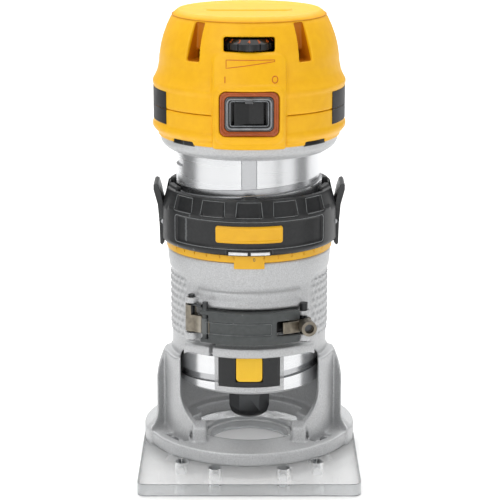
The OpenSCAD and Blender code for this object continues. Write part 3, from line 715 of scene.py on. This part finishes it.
def cap_field(g):
    body = revolve(g, [(0, 213.5), (28.6, 213.5)] + CAP + [(44.7, 169.6), (0, 169.6)])
    hollow = revolve(g, [(0, 160), (42.1, 160), (42.1, 180), (39.4, 188), (38.2, 199), (34.6, 208),
                         (32, 210.8), (0, 210.8)])
    scoops = None
    for a in (-38, 38, -90, 90, 142, -142):
        t = math.radians(a)
        along = g.x * math.sin(t) - g.y * math.cos(t)
        across = g.x * math.cos(t) + g.y * math.sin(t)
        half = 2.6 + (211 - g.z) * 0.06
        pit = np.maximum(np.maximum(np.abs(across) - half, slab(g.z, 192.8, 209.7)), 34.2 - along)
        around = np.maximum(np.maximum(np.abs(across) - half - 1.8, slab(g.z, 190.6, 212)), 32 - along)
        hollow = cut(hollow, around)
        throat = np.maximum(np.maximum(np.abs(across) - half + 0.4, slab(g.z, 193, 197.4)),
                            slab(along, 20, 44))
        pit = np.minimum(pit, throat)
        scoops = pit if scoops is None else np.minimum(scoops, pit)
    shell = cut(body, hollow)
    face = np.maximum(revolve(g, BOSS + [(42.2, 154.2), (42.2, 180), (39.6, 190), (38.4, 197.4)]), g.y)
    face = both(face, rect(g.x, g.z, -16.6, 140, 16.6, 197.4, 4), 0.8)
    shell = join(shell, face, 0.5)
    frame_lip = revolve(g, [(r + 0.8, z) for r, z in BOSS] + [(42.4, 154.2), (42.4, 197.4)])
    frame_lip = both(np.maximum(frame_lip, g.y), rect(g.x, g.z, -15.7, 157, 15.7, 184, 4.6), 0.6)
    shell = join(shell, frame_lip, 0.3)
    shell = cut(shell, scoops, 0.35)
    # shallow dish in the top with a plain raised oval
    shell = cut(shell, np.maximum(g.r - 31.4 - (g.z - 212.3), 212.3 - g.z), 0.25)
    oval = np.maximum(rect(g.x, g.y, -20, -4, 20, 4, 3.9), slab(g.z, 211.5, 212.9))
    groove = np.maximum(rect(g.x, g.y, -21.4, -5.4, 21.4, 5.4, 5.3), 211.8 - g.z)
    shell = np.minimum(cut(shell, groove, 0.2), oval)
    opening = np.maximum(rect(g.x, g.z, -13.35, 160.7, 13.35, 181.1, 3.1), g.y + 30)
    shell = cut(shell, opening, 0.5)
    dial = np.maximum(rect(g.x, g.z, -11.4, 198, 11.4, 204.4, 0.4), g.y + 34)
    return cut(shell, dial, 0.4)


g = Grid((-45.5, -47.4, 154), (45.5, 45.5, 213.6), 0.56)
shell_mesh(g, cap_field(g), "cap_shell", cap_finish(), "motor", "yellow_plastic", "top_cap")


def collar_field(g):
    ring = revolve(g, [(44.7, 169.4), (44.7, 161.6), (45.35, 160.6), (45.35, 159), (44.6, 157.8),
                       (42.9, 156.2), (42.7, 154.3), (42.0, 154.3), (42.0, 157.2), (42.0, 169.4)])
    ring = cut(ring, np.maximum(rect(g.x, g.z, -16.2, 150, 16.2, 190), g.y + 30))
    for s in (-1, 1):
        a0, a1 = sorted((s * 37, s * 54))
        ring = cut(ring, sector(g, 50, 40, 153, 156.2, a0, a1), 0.4)
    return cut(ring, np.maximum(disc2(g.x, g.z, 0, 163.2, 6), -g.y))


g = Grid((-45.6, -45.6, 154), (45.6, 45.6, 169.6), 0.42)
shell_mesh(g, collar_field(g), "collar_shell", YELLOW, "motor", "yellow_plastic", "lower_collar")


# ---------- depth ring ----------

PANEL_ARC, POCKET_ARC, BADGE_ARC = 0.735, 0.71, 0.733     # millimetres per degree round the ring
POCKETS = (-48, -24, 0, 24, 48)


def ring_field(g):
    body = revolve(g, [(37.8, 104.6), (41.3, 104.6), (42.2, 106), (42.2, 121), (41.4, 123.6), (39.9, 130.3),
                       (37.6, 130.3), (37.6, 121.6), (34.9, 121.6), (34.9, 110.6), (37.8, 110.6)])
    # bar mouldings above and below the front panel
    body = join(body, np.maximum(revolve(g, [(41, 121.4), (42.2, 121.4), (42.2, 123.1), (41, 123.4)]),
                                 np.minimum(wedge(g, -64, 64), wedge(g, 116, 244))), 0.4)
    for s in (-1, 1):
        for a in (s * 90 - 18.5, s * 90 + 18.5):
            body = join(body, np.maximum(np.maximum(slab(g.r, 35.6, 38.3), slab(g.z, 121.6, 131.8)),
                                         slab_wedge(g, a, 5.5)), 0.8)
    body = join(body, box(g, (-3, -39.8, 129.2), (3, -37.4, 131)), 0.3)
    side = np.abs(g.x)
    pocket = np.minimum(38.8 - side, np.maximum(30 - side, g.z - 110.7))
    pocket = np.maximum(slab(g.y, -9.2, 9.2), np.minimum(pocket, np.maximum(38.1 - side, 121.5 - g.z)))
    body = cut(body, pocket, 0.3)
    for a in (0, 180):
        t = ((g.az - a + 180) % 360) - 180
        panel = rect(t * PANEL_ARC, g.z, -40, 108, 40, 120.3, 1.6)
        body = cut(body, np.maximum(panel, 41.3 - g.r), 0.3)
        for w in POCKETS:
            u = (t - w) * POCKET_ARC
            half = 5.4 + (g.z - 125.8) * -0.06
            hole = np.maximum(rect(u / half, (g.z - 125.7) / 3.7, -1, -1, 1, 1, 0.22) * 3.7,
                              (41.35 - (g.z - 123.6) * 0.224 - 1.05) - g.r)
            body = cut(body, hole, 0.35)
    # seat of the pointer
    body = cut(body, sector(g, 46, 40.6, 104, 107.2, -14, 14))
    return body


def slab_wedge(g, a, half):
    """A radial band centred on azimuth a, on its own side of the axis."""
    t = math.radians(a)
    return np.maximum(slab_at(g, a, half), -(g.x * math.sin(t) - g.y * math.cos(t)))


g = Grid((-42.6, -42.6, 104.2), (42.6, 42.6, 132), 0.44)
shell_mesh(g, ring_field(g), "ring_body", BLACK, "ring", "black_plastic", "depth_ring")


# ---------- clamp lever ----------

LEVER_ARC = 0.785     # millimetres per degree round the lever's face


def lever_field(g):
    body = np.maximum(np.maximum(slab(g.r, 42.6, 45), slab(g.z, 62.9, 78.2)), wedge(g, -30.6, 31.6))
    for z0, z1 in ((62.9, 64.5), (76.6, 78.2)):
        body = np.minimum(body, sector(g, 44, 40.6, z0, z1, -29.6, 29))
    body = cut(body, np.maximum(rect(g.az * LEVER_ARC, g.z, 13.0, 66.9, 26, 73.7, 0.8), 40 - g.r), 0.3)
    body = cut(body, np.maximum(rect(g.az * LEVER_ARC, g.z, -21.2, 67.5, 10.6, 73.1, 0.9), 44.45 - g.r), 0.25)
    body = cut(body, post(g, LEVER_PIVOT, 2.9, 64.8, 76.3), 0.2)
    return np.minimum(body, post(g, LEVER_PIVOT, 1.45, 63.9, 79))


g = Grid((-23.5, -45.4, 62.6), (24.2, -34.5, 79.2), 0.26)
shell_mesh(g, lever_field(g), "lever_body", LEVER, "lever", "lever_metal", "clamp_lever", passes=2)


# ---------- switch ----------

def bezel_field(g):
    body = np.maximum(rect(g.x, g.z, -13.2, 160.9, 13.2, 180.9, 3), slab(g.y, -45.6, -40.7))
    body = cut(body, np.maximum(rect(g.x, g.z, -11.05, 163, 11.05, 178.8, 2.4), slab(g.y, -60, -30)), 0.6)
    return cut(body, np.maximum(rect(g.x, g.z, -12.2, 161.9, 12.2, 179.9, 2.8), g.y + 45.0), 0.5)


g = Grid((-13.4, -45.8, 160.7), (13.4, -40.5, 181.1), 0.24)
# the frame's darker orange is painted shade for the recess round the switch
shell_mesh(g, bezel_field(g), "bezel_frame", ORANGE_RECESS_SHADE, "motor", "orange_plastic", "switch_bezel")


def boot_field(g):
    rim = np.maximum(rect(g.x, g.z, -10.95, 163.1, 10.95, 178.7, 2.4), slab(g.y, -44.9, -40.8))
    rim = cut(rim, np.maximum(rect(g.x, g.z, -9.9, 164.2, 9.9, 177.6, 1.6), g.y + 44.1), 0.5)
    step = np.maximum(rect(g.x, g.z, -8.9, 165.1, 8.9, 176.9, 1), slab(g.y, -60, -30))
    rim = cut(rim, step, 0.4)
    tab = np.maximum(rect(g.x, g.z, -1.9, 175.6, 1.9, 178, 0.5), slab(g.y, -45.2, -43))
    return np.minimum(rim, tab)


g = Grid((-11.1, -45.3, 163), (11.1, -40.6, 178.9), 0.2)
shell_mesh(g, boot_field(g), "boot_frame", BOOT, "motor", "boot_rubber", "switch_boot")


def rocker_field(g):
    body = outline(g.x, g.y, [(-6.75, -44.8), (0, -42.7), (6.75, -42.9), (6.75, -38.2), (4.6, -36.6),
                                        (-4.6, -36.6), (-6.75, -38.2)])
    body = np.maximum(body, slab(g.z, 165.6, 176.2))
    return np.minimum(body, post(g, (0, -38.6), 1.0, 163.8, 177.8))


g = Grid((-7.1, -45.1, 163.6), (7.1, -36.4, 178), 0.2)
shell_mesh(g, rocker_field(g), "rocker_body", INKY, "rocker", "black_plastic", "switch_rocker", passes=2)


# ---------- small marks ----------

def rounded_path(x0, z0, x1, z1, r, n=6):
    """Corner-rounded rectangle as a list of points."""
    pts = []
    for cx, cz, a0 in ((x1 - r, z1 - r, 0), (x0 + r, z1 - r, 90), (x0 + r, z0 + r, 180),
                       (x1 - r, z0 + r, 270)):
        for i in range(n + 1):
            a = math.radians(a0 + 90 * i / n)
            pts.append((cx + r * math.cos(a), cz + r * math.sin(a)))
    return pts


def fill_in(pts, step=2.0):
    """Adds points along long sides, so that a line follows a curved surface."""
    out = []
    for a, b in zip(pts, pts[1:] + pts[:1]):
        n = max(1, int(math.dist(a, b) / step))
        out += [(a[0] + (b[0] - a[0]) * i / n, a[1] + (b[1] - a[1]) * i / n) for i in range(n)]
    return out


def round_point(az, z, r):
    t = math.radians(az)
    return Vector((r * math.sin(t), -r * math.cos(t), z)) * MM


def boss_point(x, z, out=0.0):
    """A point on the raised panel above the switch."""
    prof = sorted((zz, rr) for rr, zz in BOSS)
    r = float(np.interp(z, [p[0] for p in prof], [p[1] for p in prof])) + out
    return Vector((x, -math.sqrt(r * r - x * x), z)) * MM


def curve_mesh(name, curve, mat):
    """Mesh of a curve or a text, with one finish."""
    o = new_object(name, curve)
    me = bpy.data.meshes.new_from_object(o.evaluated_get(bpy.context.evaluated_depsgraph_get()))
    bpy.data.objects.remove(o)
    me.name = name
    me.materials.clear()
    me.materials.append(mat)
    return me


def line_mark(name, points, radius, mat, body, slot, closed=False):
    """A fine raised line through points on a surface."""
    cu = bpy.data.curves.new(name, "CURVE")
    cu.dimensions = "3D"
    cu.bevel_depth = radius * MM
    cu.bevel_resolution = 2
    sp = cu.splines.new("POLY")
    sp.points.add(len(points) - 1)
    for p, q in zip(sp.points, points):
        p.co = (*q, 1)
    sp.use_cyclic_u = closed
    cu.use_fill_caps = not closed
    me = curve_mesh(name, cu, mat)
    for p in me.polygons:
        p.use_smooth = True
    return place(new_object(name, me), body, slot)


def run(a, b, n=12):
    return [(a[0] + (b[0] - a[0]) * i / n, a[1] + (b[1] - a[1]) * i / n) for i in range(n)]


wedge_path = run((-10.3, 194.8), (11.4, 194.8)) + run((11.4, 194.8), (11.4, 194.1), 2) + \
    run((11.4, 194.1), (-10.3, 191.2)) + run((-10.3, 191.2), (-10.3, 194.8), 3)
line_mark("speed_wedge", [boss_point(x, z, 0.02) for x, z in wedge_path], 0.16, INK_ORANGE, "motor",
          "orange_plastic", True)
line_mark("on_mark", [boss_point(-10.8, z, 0.02) for z in (184.9, 186.2, 187.6)], 0.2, INK_ORANGE, "motor",
          "orange_plastic")
line_mark("off_mark", [boss_point(11.5 + 1.25 * math.cos(a), 186.3 + 1.5 * math.sin(a), 0.02)
                       for a in np.linspace(0, 2 * math.pi, 24, endpoint=False)], 0.2, INK_ORANGE, "motor",
          "orange_plastic", True)


# dark lines along the clear plate's top and bottom edges: painted shade standing in for the look of its edges
HALF = 50.8
corners = rounded_path(-HALF, -72.3, HALF, 72, 4)
plate = [(-HALF, -2 * i) for i in range(34)] + corners[14:21]
plate += [(x / 2.0, -72.3) for x in range(-90, 94, 4)] + corners[21:28]
plate += [(HALF, -2 * i) for i in range(33, 0, -1)]
plate += [(HALF * math.cos(a), HALF * math.sin(a)) for a in np.linspace(0, math.pi, 60)]
for name, z in (("plate_edge_top", 5.58), ("plate_edge_low", 0.16)):
    line_mark(name, [Vector((x, y, z)) * MM for x, y in plate], 0.13, ARRIS_SHADE, "base", "clear_plastic", True)


def in_mm(*points):
    """Points given in millimetres."""
    return [Vector(p) * MM for p in points]


def upright(p, *heights):
    return in_mm(*((*p, z) for z in heights))


line_mark("bracket_leaf", in_mm((-26.8, -32.6, 79.7), (-24.4, -35, 79.7), (-22, -36.8, 79.7)), 0.8,
          OXIDE, "base", "black_steel")
# painted shadow: a dark line along the inner edge of the flange opening at the front
line_mark("opening_shadow_line", [round_point(az, FLANGE - 0.35, 30.5) for az in range(-37, 38, 2)], 0.3, IRON,
          "base", "cast_aluminium")
# painted shadow: a darker yellow line round the edge of the crown
line_mark("crown_shadow_line", [round_point(az, 210.6, 35.85) for az in range(0, 360, 5)], 0.22, CROWN_SHADOW, "motor",
          "yellow_plastic", True)
line_mark("nut_socket", in_mm(*((LINK[0] + 0.242 * d, LINK[1] - 0.97 * d, 70.6) for d in (7.3, 7.8))), 2.05,
          OXIDE, "link", "black_steel")
# the bracket's knuckle, seen through the lever's slot
line_mark("bracket_knuckle", upright(LEVER_PIVOT, 66.9, 67, 74.2, 74.3), 1.9, LEVER, "base", "lever_metal")
line_mark("lever_pin_head", upright(LEVER_PIVOT, 78.4, 79.4, 81.8, 82), 1.35, OXIDE, "lever", "black_steel")
# painted highlights: light lines along the edges of the switch boot's frame
for name, y, width, frame_path in (
        ("boot_rim_glint", -44.95, 0.42, rounded_path(-9.9, 164.2, 9.9, 177.6, 2)),
        ("boot_inner_rim", -44.3, 0.25, rounded_path(-8.6, 165.4, 8.6, 176.6, 1))):
    line_mark(name, in_mm(*((x, y, z) for x, z in frame_path)), width, BOOT_RIM_GLINT, "motor", "boot_rubber", True)

# light lines along the edges of the ring's recesses: painted highlights where the edges catch the light
for side, a in (("front", 0), ("back", 180)):
    path = fill_in(rounded_path(-40.2, 107.8, 40.2, 120.5, 1.6))
    line_mark("recess_edge_" + side, [round_point(a + u / PANEL_ARC, z, 42.16) for u, z in path], 0.16,
              GLINT, "ring", "black_plastic", True)
    for n, w in enumerate(POCKETS):
        path = fill_in([(-5.6, 129.3), (5.6, 129.3), (6.1, 122.3), (-6.1, 122.3)])
        line_mark("pocket_edge_%s_%d" % (side, n),
                  [round_point(a + w + u / POCKET_ARC, z, min(42.2, 42.2 - (z - 121) * 0.2473) + 0.02)
                   for u, z in path], 0.14, GLINT, "ring", "black_plastic", True)
# painted highlight: a light line along the edge of the lever's recess
path = fill_in(rounded_path(-21.1, 67.6, 10.5, 73.0, 0.9))
line_mark("lever_recess_edge", [round_point(u / LEVER_ARC, z, 44.97) for u, z in path], 0.1, GLINT, "lever",
          "lever_metal", True)


def spring(name, centre, along, radius, wire, turns, length, body):
    """Open coil drawn along a line in place of a CAD spring; centre is the fixed end."""
    u = Vector(along).normalized()
    v = u.orthogonal().normalized()
    w = u.cross(v)
    n = 16 * turns
    pts = [Vector(centre) * MM + (u * (length * i / n) + v * radius * math.cos(math.pi * i / 8) +
                                  w * radius * math.sin(math.pi * i / 8)) * MM for i in range(n + 1)]
    o = line_mark(name + "_coil", pts, wire, STEEL, body, "steel")
    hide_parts(name)
    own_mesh(o)


spring("lock_spring", (0, -22.95, 48), (0, -1, 0), 3.2, 0.35, 5, 7.8, "motor")
spring("tab_spring_right", (39.1, 0, 119), (1, 0, 0), 1.5, 0.14, 3, 0.85, "ring")
spring("tab_spring_left", (-39.1, 0, 119), (-1, 0, 0), 1.5, 0.14, 3, 0.85, "ring")


def lettering(name, text, size, at, rows, mat, body, slot, depth=0.12):
    """Generic numerals as a thin solid; rows are its right and up directions."""
    cu = bpy.data.curves.new(name, "FONT")
    cu.body = text
    cu.size = size * MM
    cu.extrude = depth * MM
    cu.align_x, cu.align_y = "CENTER", "CENTER"
    me = curve_mesh(name, cu, mat)
    right, up = (Vector(v).normalized() for v in rows)
    out = right.cross(up)
    for v in me.vertices:
        v.co = Vector(at) * MM + right * v.co.x + up * v.co.y + out * v.co.z
    return place(new_object(name, me), body, slot)


DIAL, DIAL_R, DIAL_STEP = (0, -29.6), 10.75, 24
for k, digit in enumerate("1234567"):
    a = math.radians(DIAL_STEP * k - 72)
    right = (math.cos(a), math.sin(a), 0)
    slope = (-math.sin(a) * 0.77, math.cos(a) * 0.77, 0.64)
    at = (DIAL[0] + DIAL_R * math.sin(a), DIAL[1] - DIAL_R * math.cos(a), 202.62)
    lettering("dial_mark_" + digit, digit, 2.7, at, (right, slope), INK_ORANGE, "dial", "orange_plastic")
lettering("scale_zero", "0", 2.3, (2.3, -39.62, 102.3), ((1, 0, 0), (0, 0, 1)), INKY, "scale",
          "black_plastic", 0.1)


# badge: a plain plate with a raised rule above and below
def badge_field(g):
    u = g.az * BADGE_ARC
    body = np.maximum(rect(u, g.z, -16, 110.4, 16, 118.4, 1.2), slab(g.r, 40.9, 41.75))
    for z in (111.3, 117.5):
        rule = rect(u, g.z, -15.2, z - 0.35, 15.2, z + 0.35, 0.3)
        body = np.minimum(body, np.maximum(rule, slab(g.r, 41.2, 42.05)))
    return body


g = Grid((-16.6, -42.2, 110), (16.6, -38, 118.8), 0.2)
shell_mesh(g, badge_field(g), "badge_plate", RING_YELLOW, "ring", "yellow_plastic", "ring_badge")


# pointer: two bright bars in a dark seat
g = Grid((-10.8, -42.2, 104.3), (10.8, -39.4, 107.5), 0.16)
seat = sector(g, 41.75, 40.5, 104.55, 107.3, -13.9, 13.9)
shell_mesh(g, seat, "pointer_seat", INKY, "ring", "black_plastic")
bars = np.maximum(sector(g, 42.05, 41.3, 104.9, 106.4, -13.2, 13.2), 0.7 - np.abs(g.x))
shell_mesh(g, bars, "pointer_bars", SATIN, "ring", "pointer_metal", "ring_pointer")

# draw link: dark strap behind the lever, bright hook and eye in front
g = Grid((-12.5, -45.5, 67), (29.5, -29, 73.6), 0.26)
strap = sector(g, 40.25, 38.85, 67.4, 73.2, -17, 30)
shell_mesh(g, strap, "link_strap", INKY, "link", "clamp_steel")
hook = np.maximum(sector(g, 45.1, 38.9, 67.5, 73.1, 24.5, 31.6), -sector(g, 43.7, 40.2, 60, 80, 20, 26.6))
hook = np.minimum(hook, sector(g, 45.1, 43.7, 67.5, 73.1, 20.4, 31))
hook = np.minimum(hook, post(g, LINK, 3.5, 67.4, 73.2))
hook = cut(hook, post(g, LINK, 1.9, 60, 80), 0.2)
shell_mesh(g, hook, "link_hook", NICKEL, "link", "clamp_steel", "clamp_link")

# painted shade: a black sheet in the collar's air gaps, standing in for the shadow inside them
g = Grid((-35, -43, 153.5), (35, -24, 157), 0.3)
gap_shadow = np.maximum(np.maximum(slab(g.r, 41.3, 42.35), slab(g.z, 154.0, 156.7)), wedge(g, -56, 56))
gap_shadow = np.maximum(gap_shadow, 24.6 - np.abs(g.x))
shell_mesh(g, gap_shadow, "air_gap_shadow", INKY, "motor", "black_plastic")


# ---------- stage ----------

def plane(name, corners, mat):
    me = bpy.data.meshes.new(name)
    me.from_pydata(corners, [], [(0, 1, 2, 3)])
    me.materials.append(mat)
    o = new_object(name, me)
    return o


plane("floor", [(-6, -6, -0.0002), (6, -6, -0.0002), (6, 6, -0.0002), (-6, 6, -0.0002)], FLOOR)
for n, (x0, y0, x1, y1, h) in enumerate(((-0.32, -0.02, -0.26, 0.2, 0.22), (0.34, -0.1, 0.34, 0.06, 0.2),
                                         (-0.36, -0.36, -0.3, -0.3, 0.2), (0.30, -0.34, 0.33, -0.29, 0.2))):
    card = plane("card_%d" % n, [(x0, y0, 0), (x1, y1, 0), (x1, y1, h), (x0, y0, h)], CARD)
    card.visible_camera = False
    card.visible_diffuse = False
    card.visible_shadow = False
    card.visible_transmission = False

world = bpy.data.worlds.new("studio")
bpy.context.scene.world = world
world.use_nodes = True
world.node_tree.nodes["Background"].inputs[0].default_value = (1, 1, 1, 1)
world.node_tree.nodes["Background"].inputs[1].default_value = 0.42


def area(name, at, to, size, power):
    d = bpy.data.lights.new(name, "AREA")
    d.shape = "RECTANGLE"
    d.size, d.size_y = size
    d.energy = power
    o = new_object(name, d)
    o.location = at
    o.rotation_euler = (Vector(to) - Vector(at)).to_track_quat("-Z", "Y").to_euler()
    return o


area("key", (-0.75, -1.05, 0.95), (0, 0, 0.11), (0.9, 0.9), 6.4)
area("under", (0, 0, 0.0275), (0, 0, 0), (0.044, 0.044), 0.006).visible_camera = False
area("fill", (1.05, -0.9, 0.5), (0, 0, 0.1), (0.7, 1.1), 1.9)
area("low", (0, -1.25, 0.1), (0, 0, 0.05), (0.8, 0.16), 0.55)
area("top", (0, 0.15, 1.3), (0, 0, 0.1), (1.5, 1.3), 11)
area("back", (0, 2.2, 2.2), (0, 2.0, 0), (4, 3), 95)

cam = bpy.data.cameras.new("camera")
cam.sensor_width = 36
cam.lens = 133.48        # a long lens, for the small perspective seen
cam.shift_x = 0.0016     # the tool stands a little off the middle
camera = new_object("camera", cam)
camera.location = (0, -0.8617, 0.3153)
camera.rotation_euler = (math.radians(75.79), 0, 0)
bpy.context.scene.camera = camera
bpy.context.scene.view_settings.view_transform = "Standard"
